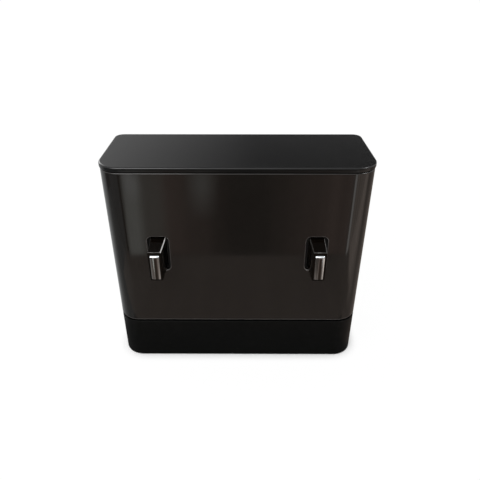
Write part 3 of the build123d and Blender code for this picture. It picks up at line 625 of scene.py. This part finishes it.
moulded_looks = {
    "matte_black": {
        "colour": (0.0034, 0.0034, 0.0035),
        "worn": (0.010, 0.010, 0.010),
        "roughness": 0.21,
        "grain_scale": 2300.0,
        "grain_depth": 0.003 * mm,
        "specular": 0.32,
        "dust": 0.2,
        "smudge": 0.03,
    },
    "plinth_black": {
        "colour": (0.0024, 0.0026, 0.0023),
        "worn": (0.006, 0.006, 0.006),
        "roughness": 0.38,
        "grain_scale": 2300.0,
        "grain_depth": 0.010 * mm,
        "specular": 0.12,
        "dust": 0.2,
        "smudge": 0.05,
    },
    "frame_grey": {
        "colour": (0.008, 0.008, 0.008),
        "worn": (0.02, 0.02, 0.02),
        "roughness": 0.55,
        "grain_scale": 2000.0,
        "grain_depth": 0.02 * mm,
        "specular": 0.2,
    },
    "foot_rubber": {
        "colour": (0.012, 0.012, 0.012),
        "worn": (0.03, 0.03, 0.03),
        "roughness": 0.75,
        "grain_scale": 1400.0,
        "grain_depth": 0.04 * mm,
        "specular": 0.15,
    },
    "guide_natural": {
        "colour": (0.55, 0.54, 0.5),
        "worn": (0.65, 0.64, 0.6),
        "roughness": 0.5,
        "grain_scale": 2200.0,
        "grain_depth": 0.02 * mm,
        "specular": 0.4,
    },
    "lead_sheath": {
        "colour": (0.16, 0.012, 0.012),
        "worn": (0.2, 0.03, 0.03),
        "roughness": 0.45,
        "grain_scale": 1800.0,
        "grain_depth": 0.02 * mm,
        "specular": 0.4,
    },
    "emitter_lens": {
        "colour": (0.03, 0.015, 0.04),
        "worn": (0.05, 0.03, 0.06),
        "roughness": 0.12,
        "grain_scale": 3000.0,
        "grain_depth": 0.002 * mm,
        "specular": 0.5,
        "dust": 0.0,
    },
    "chip_black": {
        "colour": (0.012, 0.012, 0.012),
        "worn": (0.03, 0.03, 0.03),
        "roughness": 0.5,
        "grain_scale": 3000.0,
        "grain_depth": 0.01 * mm,
        "specular": 0.3,
    },
}
# Dark lines, light lines, roughness, and how close the lines lie
plated_looks = {
    "spring_steel": ((0.3, 0.3, 0.3), (0.5, 0.5, 0.52), 0.25, 1.5),
    "brass": ((0.45, 0.33, 0.12), (0.75, 0.58, 0.28), 0.28, 1.2),
    "capacitor_can": ((0.35, 0.35, 0.36), (0.6, 0.6, 0.62), 0.3, 1.0),
    "ballast_steel": ((0.16, 0.16, 0.165), (0.3, 0.3, 0.31), 0.4, 0.4),
    "screw_steel": ((0.2, 0.2, 0.205), (0.42, 0.42, 0.43), 0.3, 1.0),
}
# The nickel's near-black and near-white lines are painted reflection streaks, not its own colour
nickel_look = ((0.035, 0.028, 0.022), (0.88, 0.92, 0.95), 0.12, 1.0)

finishes = {name: moulded(name, **look) for name, look in moulded_looks.items()}
finishes.update({name: plated(name, *look) for name, look in plated_looks.items()})
# The strip's top bend gets a painted highlight
finishes["nickel"] = plated("nickel", *nickel_look, highlight_above=strip_bend_z, reflection_bands=True)
finishes["smoked_gloss"] = smoked_gloss()
finishes["finger_black"] = finger_plastic()
finishes["board_green"] = board_finish()


# Top cap: the plate with its soft edge, and the lip under it


def build_cap():
    """The plate, joined to the lip that drops into the frame"""
    plate_bottom = cap_low.z + lip_depth
    bm = rounded_block(
        (cap_low.x, cap_low.y, plate_bottom),
        cap_high,
        front_corner + cap_overhang,
        rear_corner + cap_overhang,
    )
    round_over(bm, edges_at(bm, 2, cap_high.z), cap_top_round, cap_top_steps)
    round_over(bm, edges_at(bm, 2, plate_bottom), cap_lower_round, cap_lower_steps)
    lip = rounded_block(
        (-half_width + lip_side_gap, front_y + lip_front_gap, cap_low.z),
        (half_width - lip_side_gap, back_y - lip_rear_gap, plate_bottom + cap_lower_round),
        lip_corner,
        lip_rear_corner,
    )
    open_ends(lip)
    thicken(lip, lip_wall)
    return combine(bm, [lip], "UNION")


as_piece("cap_moulding", build_cap(), "housing", "matte_black", ["top_cap"])


# Front sleeve: the gloss shell with its two windows


def contact_middle(side):
    """The middle of a finger's box"""
    low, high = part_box(f"contact_finger_{side}")
    return (low + high) / 2


def cut_front(bm, axis, value):
    """One straight cut across the flat front"""
    front = [face for face in bm.faces if face.normal.y < -0.999]
    parts = set(front)
    for face in front:
        parts.update(face.edges)
        parts.update(face.verts)
    place = Vector((0, 0, 0))
    place[axis] = value
    normal = Vector((0, 0, 0))
    normal[axis] = 1
    bmesh.ops.bisect_plane(bm, geom=list(parts), dist=touch / 10, plane_co=place, plane_no=normal)
    bm.normal_update()


def wall_tube(low_z, high_z):
    """The outline of the dock as a sheet, open at its top and bottom"""
    bm = rounded_block(
        (-half_width, front_y, low_z),
        (half_width, back_y, high_z),
        front_corner,
        rear_corner,
    )
    open_ends(bm)
    bm.normal_update()
    return bm


def build_sleeve():
    """The outline cut off at the seam, with its windows, its wall and its rims"""
    bm = wall_tube(sleeve_low.z, sleeve_high.z)
    bmesh.ops.bisect_plane(
        bm,
        geom=bm.verts[:] + bm.edges[:] + bm.faces[:],
        dist=touch / 10,
        plane_co=(0, seam_y, 0),
        plane_no=(0, 1, 0),
        clear_outer=True,
    )
    bm.normal_update()
    middles = [contact_middle(side) for side in sides]
    for middle in middles:
        cut_front(bm, 0, middle.x - window_width / 2)
        cut_front(bm, 0, middle.x + window_width / 2)
    for edge in (-1, 1):
        cut_front(bm, 2, middles[0].z + edge * window_height / 2)
    openings = [
        face
        for face in bm.faces
        for middle in middles
        if face.normal.y < -0.999 and (face.calc_center_median() - middle).xz.length < mm
    ]
    bmesh.ops.delete(bm, geom=openings, context="FACES")
    thicken(bm, wall)
    corners = [
        edge
        for edge in bm.edges
        if parallel(edge, 1)
        and edge.calc_length() < 2 * wall
        and any(
            abs(abs(edge.verts[0].co.x - middle.x) - window_width / 2) < touch
            and abs(abs(edge.verts[0].co.z - middle.z) - window_height / 2) < touch
            for middle in middles
        )
    ]
    round_over(bm, corners, window_corner, window_corner_steps)
    bm.normal_update()
    rims = [
        edge
        for edge in edges_at(bm, 1, front_y)
        if any(abs(face.normal.y) < 0.5 for face in edge.link_faces)
        and any(
            abs(vert.co.x - middle.x) < window_width / 2 + touch
            and abs(vert.co.z - middle.z) < window_height / 2 + touch
            for middle in middles
            for vert in edge.verts
        )
    ]
    # The window lips here, and the top and bottom rims below, get a painted highlight
    round_over(bm, rims, window_lip, window_lip_steps, rim=window_highlight)
    bm.normal_update()
    top = outer_rim(bm, sleeve_high.z, 1)
    round_over(bm, top, sleeve_top_round, sleeve_top_steps, rim=sleeve_top_highlight)
    bm.normal_update()
    bottom = outer_rim(bm, sleeve_low.z, -1)
    round_over(bm, bottom, sleeve_bottom_round, sleeve_bottom_steps, rim=sleeve_bottom_highlight)
    return bm


as_piece("sleeve_moulding", build_sleeve(), "housing", "smoked_gloss", ["front_sleeve"])


# Base plinth: the model's own form, with its foot drawn down


def copied(node):
    """A merged copy of a model node's mesh"""
    bm = bmesh.new()
    bm.from_mesh(frame["nodes"][node].data)
    bm.faces.layers.float.new("rim")
    bmesh.ops.remove_doubles(bm, verts=bm.verts[:], dist=touch / 5)
    return bm


def build_plinth():
    """The plinth with its foot drawn down to just above the floor"""
    bm = copied("base_plinth")
    for vert in bm.verts:
        if vert.co.z < plinth_low.z + touch:
            vert.co.z = skirt_gap
        elif vert.co.z < plinth_low.z + foot_chamfer + touch:
            vert.co.z = skirt_gap + skirt_round
    return bm


as_piece(
    "plinth_moulding",
    build_plinth(),
    "housing",
    "matte_black",
    ["base_plinth"],
    finish="plinth_black",
)


# Contact fingers with their strips, and the folded springs behind them


def strip_box(side):
    """The strip's box in the model, a little narrower and taller"""
    low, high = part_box(f"contact_strip_{side}")
    return low + Vector((strip_trim, 0, 0)), high + Vector((-strip_trim, 0, strip_lift))


def build_finger(side):
    """A shank, a tapered nose and a collar, with a seat for the strip and a pocket for the spring"""
    low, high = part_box(f"contact_finger_{side}")
    strip_low, strip_high = strip_box(side)
    middle = (low + high) / 2
    bm = new_box(
        (middle.x - shank_width / 2, front_y, middle.z - shank_height / 2),
        (middle.x + shank_width / 2, high.y, middle.z + shank_height / 2),
    )
    bm.normal_update()
    face = [item for item in bm.faces if item.normal.y < -0.99]
    nose = bmesh.ops.extrude_face_region(bm, geom=face)["geom"]
    nose = [item for item in nose if isinstance(item, bmesh.types.BMVert)]
    # The extrusion leaves the face it started from inside
    bmesh.ops.delete(bm, geom=face, context="FACES_ONLY")
    bmesh.ops.translate(bm, verts=nose, vec=(0, low.y - front_y, 0))
    bmesh.ops.scale(
        bm,
        verts=nose,
        vec=(nose_width / shank_width, 1, nose_height / shank_height),
        space=Matrix.Translation(-middle),
    )
    bm.normal_update()
    long_edges = [edge for edge in bm.edges if abs(edge.verts[0].co.y - edge.verts[1].co.y) > mm]
    lower = [edge for edge in long_edges if edge.verts[0].co.z < middle.z]
    round_over(bm, lower, finger_round, finger_steps)
    bm.normal_update()
    # The upper long edges and the front top edge get a painted highlight
    left_highlight, right_highlight, front_highlight = painted_edge_highlights[side]
    for end, rim in ((-1, left_highlight), (1, right_highlight)):
        upper = [
            edge
            for edge in bm.edges
            if abs(edge.verts[0].co.y - edge.verts[1].co.y) > mm
            and all(vert.co.z > middle.z + finger_round for vert in edge.verts)
            and all((vert.co.x - middle.x) * end > 0 for vert in edge.verts)
        ]
        round_over(bm, upper, finger_top_round, finger_top_steps, rim=rim)
        bm.normal_update()
    crest = middle.z + nose_height / 2 - touch
    top = [edge for edge in edges_at(bm, 1, low.y) if all(vert.co.z > crest for vert in edge.verts)]
    round_over(bm, top, finger_top_round, finger_top_steps, rim=front_highlight)
    bm.normal_update()
    crest -= finger_top_round + touch
    rest = [edge for edge in edges_at(bm, 1, low.y) if not all(vert.co.z > crest for vert in edge.verts)]
    round_over(bm, rest, nose_round, nose_steps)
    collar = new_box((low.x, high.y - collar_thickness, low.z), high)
    collar_edges = [edge for edge in collar.edges if parallel(edge, 1)]
    round_over(collar, collar_edges, collar_round, collar_steps)
    bm = combine(bm, [collar], "UNION")
    seat_y = strip_low.y + strip_depth
    strip_middle = (strip_low.z + strip_high.z) / 2
    reach = (strip_high - strip_low).z / 2 + strip_clearance
    half = (strip_high - strip_low).x / 2 + strip_clearance
    seat = new_box(
        (middle.x - half, low.y - mm, strip_middle - reach),
        (middle.x + half, seat_y, strip_middle + reach),
    )
    half = tail_width / 2 + strip_clearance
    tail = new_box(
        (middle.x - half, seat_y - mm, strip_high.z - tail_thickness - strip_clearance),
        (middle.x + half, high.y + mm, strip_high.z + strip_clearance),
    )
    pocket = new_box(
        (middle.x - pocket_width / 2, high.y - pocket_depth, middle.z - pocket_height / 2),
        (middle.x + pocket_width / 2, high.y + mm, middle.z + pocket_height / 2),
    )
    return combine(bm, [seat, tail, pocket], "DIFFERENCE")


def build_strip(side):
    """A formed strip: bent over at its top and bottom, crowned across, with a tail to the rear"""
    low, high = strip_box(side)
    middle_x = (low.x + high.x) / 2
    half = (high.x - low.x) / 2
    seat_y = low.y + strip_depth
    bm = new_box(low, (high.x, seat_y, high.z))
    front = edges_at(bm, 1, low.y, running=0)
    upper = [edge for edge in front if abs(edge.verts[0].co.z - high.z) < touch]
    round_over(bm, upper, strip_top_bend, strip_top_steps)
    front = edges_at(bm, 1, low.y, running=0)
    lower = [edge for edge in front if abs(edge.verts[0].co.z - low.z) < touch]
    round_over(bm, lower, strip_bottom_bend, strip_bottom_steps)
    for cut in range(1, strip_cuts):
        bmesh.ops.bisect_plane(
            bm,
            geom=bm.verts[:] + bm.edges[:] + bm.faces[:],
            dist=touch / 10,
            plane_co=(low.x + cut * 2 * half / strip_cuts, 0, 0),
            plane_no=(1, 0, 0),
        )
    for vert in bm.verts:
        across = (vert.co.x - middle_x) / half
        forward = (seat_y - vert.co.y) / strip_depth
        over = max(0.0, (vert.co.z - high.z + strip_top_bend) / strip_top_bend)
        vert.co.y += strip_crown * across * across * forward
        vert.co.z -= strip_crown_drop * across * across * forward * over
    bm.normal_update()
    flanks = [
        edge
        for edge in bm.edges
        if all(abs(abs(vert.co.x - middle_x) - half) < touch for vert in edge.verts)
        and all(vert.co.y < seat_y - touch for vert in edge.verts)
        and any(abs(face.normal.x) < 0.9 for face in edge.link_faces)
    ]
    round_over(bm, flanks, strip_flank_round, strip_flank_steps)
    tail = new_box(
        (middle_x - tail_width / 2, seat_y - mm, high.z - tail_thickness),
        (middle_x + tail_width / 2, high.y, high.z),
    )
    return combine(bm, [tail], "UNION")


def build_spring(side):
    """A leaf of thin strip, folded to and fro"""
    low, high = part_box(f"contact_spring_{side}")
    bm = bmesh.new()
    start_y = low.y + spring_sheet / 2
    end_y = high.y - spring_sheet / 2
    pitch = (end_y - start_y) / spring_folds
    inner_low = low.z + spring_sheet / 2
    inner_high = high.z - spring_sheet / 2
    route = [(start_y, inner_low)]
    for fold in range(spring_folds + 1):
        route.append((start_y + fold * pitch, inner_high if fold % 2 == 0 else inner_low))
    route.append((end_y, inner_low if spring_folds % 2 == 0 else inner_high))
    points = [bm.verts.new((low.x, y, z)) for y, z in route]
    lines = [bm.edges.new(pair) for pair in zip(points, points[1:])]
    sheet = bmesh.ops.extrude_edge_only(bm, edges=lines)["geom"]
    far = [item for item in sheet if isinstance(item, bmesh.types.BMVert)]
    bmesh.ops.translate(bm, verts=far, vec=(high.x - low.x, 0, 0))
    folds = [edge for edge in bm.edges if parallel(edge, 0) and len(edge.link_faces) == 2]
    round_over(bm, folds, spring_bend, spring_bend_steps)
    bmesh.ops.recalc_face_normals(bm, faces=bm.faces[:])
    bm.normal_update()
    bmesh.ops.solidify(bm, geom=bm.faces[:], thickness=spring_sheet)
    bmesh.ops.recalc_face_normals(bm, faces=bm.faces[:])
    return bm


for side in sides:
    moulding = as_piece(
        f"finger_moulding_{side}",
        build_finger(side),
        f"finger_{side}",
        "finger_black",
        [f"contact_finger_{side}"],
    )
    strip = as_piece(
        f"formed_strip_{side}",
        build_strip(side),
        f"finger_{side}",
        "nickel",
        [f"contact_strip_{side}"],
        smooth_angle=50.0,
    )
    # The photo's sleeve shows no mirror image of them
    moulding.visible_glossy = False
    strip.visible_glossy = False
    spring = as_piece(
        f"folded_spring_{side}",
        build_spring(side),
        "housing",
        "spring_steel",
        [f"contact_spring_{side}"],
        smooth_angle=50.0,
    )
    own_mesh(spring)


# Camera, floor and light

camera_place = Vector((2.809, -242.36, 218.15)) * mm
camera_pitch = 30.883
camera_yaw = -0.363
camera_roll = 0.079
camera_lens = 35.697
camera_sensor = 36.0
camera_clip = (0.01, 20.0)

floor_reach = 6.0
floor_grey = 0.93
floor_glow = 1.02
# How near a thing has to be to darken the floor below it
shade_distance = 8.0 * mm
shade_samples = 12
# Light of the room on things, where the room itself looks like 1
room_light = 0.62


def build_camera():
    """The photo's camera, worked out from the outline of the dock"""
    data = bpy.data.cameras.new("camera")
    data.lens = camera_lens
    data.sensor_width = camera_sensor
    data.clip_start, data.clip_end = camera_clip
    camera = bpy.data.objects.new("camera", data)
    bpy.context.scene.collection.objects.link(camera)
    pitch, yaw, roll = (math.radians(angle) for angle in (camera_pitch, camera_yaw, camera_roll))
    turn = Matrix.Rotation(-yaw, 4, "Z")
    turn = turn @ Matrix.Rotation(math.pi / 2 - pitch, 4, "X")
    turn = turn @ Matrix.Rotation(-roll, 4, "Z")
    camera.matrix_world = Matrix.Translation(camera_place) @ turn
    bpy.context.scene.camera = camera


def seen_directly(tree):
    """1 for camera, glossy and transmission rays, and 0 for the light that falls on things"""
    path = tree.nodes.new("ShaderNodeLightPath")
    seen = math_node(tree, "MAXIMUM", path.outputs["Is Camera Ray"], path.outputs["Is Glossy Ray"])
    return math_node(tree, "MAXIMUM", seen, path.outputs["Is Transmission Ray"])


def build_floor():
    """A white floor that is seen as white, and goes dark close to the dock"""
    bm = bmesh.new()
    bmesh.ops.create_grid(bm, x_segments=1, y_segments=1, size=floor_reach)
    floor = loose_object(bm, "floor")
    material = bpy.data.materials.new("floor")
    material.use_nodes = True
    tree = material.node_tree
    shader = tree.nodes["Principled BSDF"]
    shader.inputs["Base Color"].default_value = (floor_grey, floor_grey, floor_grey, 1.0)
    shader.inputs["Roughness"].default_value = 0.9
    shader.inputs["Specular IOR Level"].default_value = 0.0
    glow = tree.nodes.new("ShaderNodeEmission")
    glow.inputs["Color"].default_value = (1.0, 1.0, 1.0, 1.0)
    glow.inputs["Strength"].default_value = floor_glow
    mix = tree.nodes.new("ShaderNodeMixShader")
    near = tree.nodes.new("ShaderNodeAmbientOcclusion")
    near.inputs["Distance"].default_value = shade_distance
    near.samples = shade_samples
    coordinates = tree.nodes.new("ShaderNodeTexCoord")
    length = tree.nodes.new("ShaderNodeVectorMath")
    length.operation = "LENGTH"
    tree.links.new(coordinates.outputs["Object"], length.inputs[0])
    share = remap(tree, length.outputs["Value"], 0.1, 1.2, 0.95, 1.0)
    open_share = math_node(tree, "MULTIPLY", share, remap(tree, near.outputs["AO"], 0.25, 0.9))
    tree.links.new(math_node(tree, "MULTIPLY", seen_directly(tree), open_share), mix.inputs[0])
    tree.links.new(shader.outputs[0], mix.inputs[1])
    tree.links.new(glow.outputs[0], mix.inputs[2])
    tree.links.new(mix.outputs[0], tree.nodes["Material Output"].inputs["Surface"])
    floor.data.materials.append(material)


# Sizes and places of the panels are in millimetres
streak_width = 12


def panel(name, corner, across, up, colour, strength, fade_left=0, fade_right=0, fade_low=0, streaks=0):
    """A studio panel that only gloss sees, with margins that fade and streaks that run up"""
    bm = bmesh.new()
    bmesh.ops.create_grid(bm, x_segments=1, y_segments=1, size=0.5)
    item = loose_object(bm, name)
    rise = Vector(up)
    side = Vector((1, 0, 0))
    turn = Matrix((side, rise.normalized(), side.cross(rise.normalized()))).transposed().to_4x4()
    middle = (Vector(corner) + side * across / 2 + rise / 2) * mm
    size = Matrix.Diagonal((across * mm, rise.length * mm, 1, 1))
    item.matrix_world = Matrix.Translation(middle) @ turn @ size
    material = bpy.data.materials.new(name)
    material.use_nodes = True
    tree = material.node_tree
    tree.nodes.remove(tree.nodes["Principled BSDF"])
    coordinates = tree.nodes.new("ShaderNodeTexCoord")
    split = tree.nodes.new("ShaderNodeSeparateXYZ")
    tree.links.new(coordinates.outputs["Object"], split.inputs[0])
    margins = (
        ("X", -0.5, fade_left / across),
        ("X", 0.5, fade_right / across),
        ("Y", -0.5, fade_low / rise.length),
    )
    shown = 1.0
    for label, edge, margin in margins:
        if margin:
            fade = remap(tree, split.outputs[label], edge, edge - math.copysign(margin, edge))
            shown = math_node(tree, "MULTIPLY", fade, shown)
    stretched = scaled(tree, coordinates.outputs["Object"], (across / streak_width, 0, 0))
    waves = noise(tree, stretched, 1.0, 1.5)
    brightness = remap(tree, waves, 0.3, 0.7, strength * (1 - streaks), strength * (1 + streaks))
    glow = tree.nodes.new("ShaderNodeEmission")
    glow.inputs["Color"].default_value = (*colour, 1.0)
    tree.links.new(brightness, glow.inputs["Strength"])
    clear = tree.nodes.new("ShaderNodeBsdfTransparent")
    mix = tree.nodes.new("ShaderNodeMixShader")
    if isinstance(shown, float):
        mix.inputs[0].default_value = shown
    else:
        tree.links.new(shown, mix.inputs[0])
    tree.links.new(clear.outputs[0], mix.inputs[1])
    tree.links.new(glow.outputs[0], mix.inputs[2])
    tree.links.new(mix.outputs[0], tree.nodes["Material Output"].inputs["Surface"])
    item.data.materials.append(material)
    item.visible_camera = False
    item.visible_diffuse = False
    item.visible_transmission = False
    item.visible_volume_scatter = False
    item.visible_shadow = False


def lying(name, x, y, z, width, depth, colour, strength, **more):
    """A level panel, from its near left corner"""
    panel(name, (x, y, z), width, (0, depth, 0), colour, strength, **more)


def standing(name, x, y, z, width, height, colour, strength, **more):
    """An upright panel, from its lower left corner"""
    panel(name, (x, y, z), width, (0, 0, height), colour, strength, **more)


def build_panels():
    """Dark flags and soft strips round the dock, which shape the reflections in its gloss"""
    white = (1.0, 1.0, 1.0)
    cool = (0.97, 1.0, 1.0)
    pale = (1.0, 0.98, 0.95)
    cream = (1.0, 1.0, 0.93)
    ivory = (1.0, 1.0, 0.97)
    sand = (1.0, 0.97, 0.90)
    peach = (1.0, 0.92, 0.82)
    tan = (1.0, 0.9, 0.82)
    clay = (1.0, 0.88, 0.76)
    umber = (1.0, 0.84, 0.74)
    rust = (1.0, 0.74, 0.64)

    # Over the table: beside the dock, behind it and before it
    row_y = front_y / mm - 115.5
    near_depth = -52 - row_y
    lying("table_flag", -700, -700, 0.4, 1400, 1100, white, 0.12)
    lying("right_table", 97, -700, 0.5, 600, 720, umber, 0.45)
    lying("right_far", 108, -700, 0.6, 600, 720, umber, 0.95, fade_left=20, streaks=0.1)
    lying("right_rear", 75, -82, 0.7, 600, 650, umber, 0.27, fade_low=65)
    lying("right_nook", 87, -55, 0.75, 12, 18, umber, 0.40)
    lying("left_table", -320, -130, 0.6, 222, 500, cool, 0.26)
    lying("left_rear", -600, -30, 0.7, 505, 500, cool, 0.62, fade_low=70)
    lying("left_nook", -99, -55, 0.75, 12, 18, white, 0.30)
    sheet_fades = {"fade_left": 20, "fade_right": 20}
    lying("near_sheet", -140, row_y, 0.8, 280, near_depth, umber, 0.345, streaks=0.06, **sheet_fades)
    lying("near_left", -150, -125, 0.85, 90, 73, tan, 0.43, fade_right=50, fade_low=30)

    # A row of panels before the dock, the narrow ones nearer to it
    top_z = 76.5
    tall = top_z - 2
    crest_z = 50
    middle_z = 34
    standing("front_flag", -600, row_y, 1, 1200, 140, clay, 0.12)
    standing("left_wall", -600, row_y + 0.4, 1, 487, tall, white, 0.26, fade_right=4, streaks=0.1)
    standing("right_wall", 92, row_y + 0.4, 1, 500, tall, umber, 0.75, fade_left=2, streaks=0.35)
    left_fades = {"fade_left": 2, "fade_right": 55}
    standing("left_haze", -85.5, row_y + 0.6, 2, 80, tall, rust, 0.44, streaks=0.25, **left_fades)
    right_fades = {"fade_left": 60, "fade_right": 1}
    standing("right_haze", 20, row_y + 0.6, 2, 72, tall, rust, 0.42, streaks=0.2, **right_fades)
    standing("left_halo", -84, row_y + 0.9, 2, 28.4, tall, peach, 0.50, fade_right=8)
    standing("left_strip", -93.9, row_y + 1.2, 2, 18.9, tall, cream, 1.0, fade_right=7.4, streaks=0.08)
    crest_fades = {"fade_left": 2, "fade_right": 7.4, "fade_low": 16}
    standing("left_crest", -93.5, row_y + 1.6, crest_z, 18.5, top_z - crest_z, ivory, 1.25, **crest_fades)
    middle_fades = {"fade_left": 12, "fade_right": 12, "fade_low": 30}
    standing("middle_strip", -43, row_y + 1.4, middle_z, 28, top_z - middle_z, sand, 0.6, **middle_fades)
    standing("right_strip", 93, row_y + 1.4, 2, 26, tall, pale, 1.5, fade_left=2, fade_right=14)

    # Far off: one behind the dock, and three high up
    standing("back_flag", -470, 500, 200, 1370, 700, white, 0.10, fade_left=490)
    standing("front_high", -900, -600, 300, 1250, 800, white, 2.2, fade_right=350)
    standing("left_high", -900, -590, 300, 780, 800, white, 4.5, fade_right=250)
    lying("right_kicker", 275, -200, 372, 160, 160, white, 12.0)


def build_world():
    """A white room, dimmer for the light it throws than for the eye"""
    world = bpy.data.worlds.new("studio")
    bpy.context.scene.world = world
    world.use_nodes = True
    tree = world.node_tree
    background = tree.nodes["Background"]
    background.inputs["Color"].default_value = (1.0, 1.0, 1.0, 1.0)
    strength = remap(tree, seen_directly(tree), 0.0, 1.0, room_light, 1.0)
    tree.links.new(strength, background.inputs["Strength"])


def lamp(name, place, size, power):
    """A soft area lamp that looks at the middle of the dock"""
    data = bpy.data.lights.new(name, "AREA")
    data.shape = "RECTANGLE"
    data.size, data.size_y = size
    data.energy = power
    item = bpy.data.objects.new(name, data)
    bpy.context.scene.collection.objects.link(item)
    dock_middle = Vector((0.0, middle_y, 0.07))
    aim = (dock_middle - Vector(place)).to_track_quat("-Z", "Y").to_matrix().to_4x4()
    item.matrix_world = Matrix.Translation(place) @ aim
    item.visible_camera = False


build_camera()
build_floor()
build_panels()
build_world()
lamp("key", place=(-0.20, -0.30, 0.46), size=(0.28, 0.20), power=1.1)
lamp("rim", place=(-0.34, 0.34, 0.30), size=(0.22, 0.22), power=0.6)


# Finishes of the model's own nodes
for row in frame["record"]["subparts"]:
    node = frame["nodes"][row["node"]]
    finish = "plinth_black" if row["node"] in ("base_plinth", "base_plate") else row["material_slot"]
    for place in node.material_slots:
        place.material = finishes[finish]

bpy.context.scene.view_settings.view_transform = "Standard"
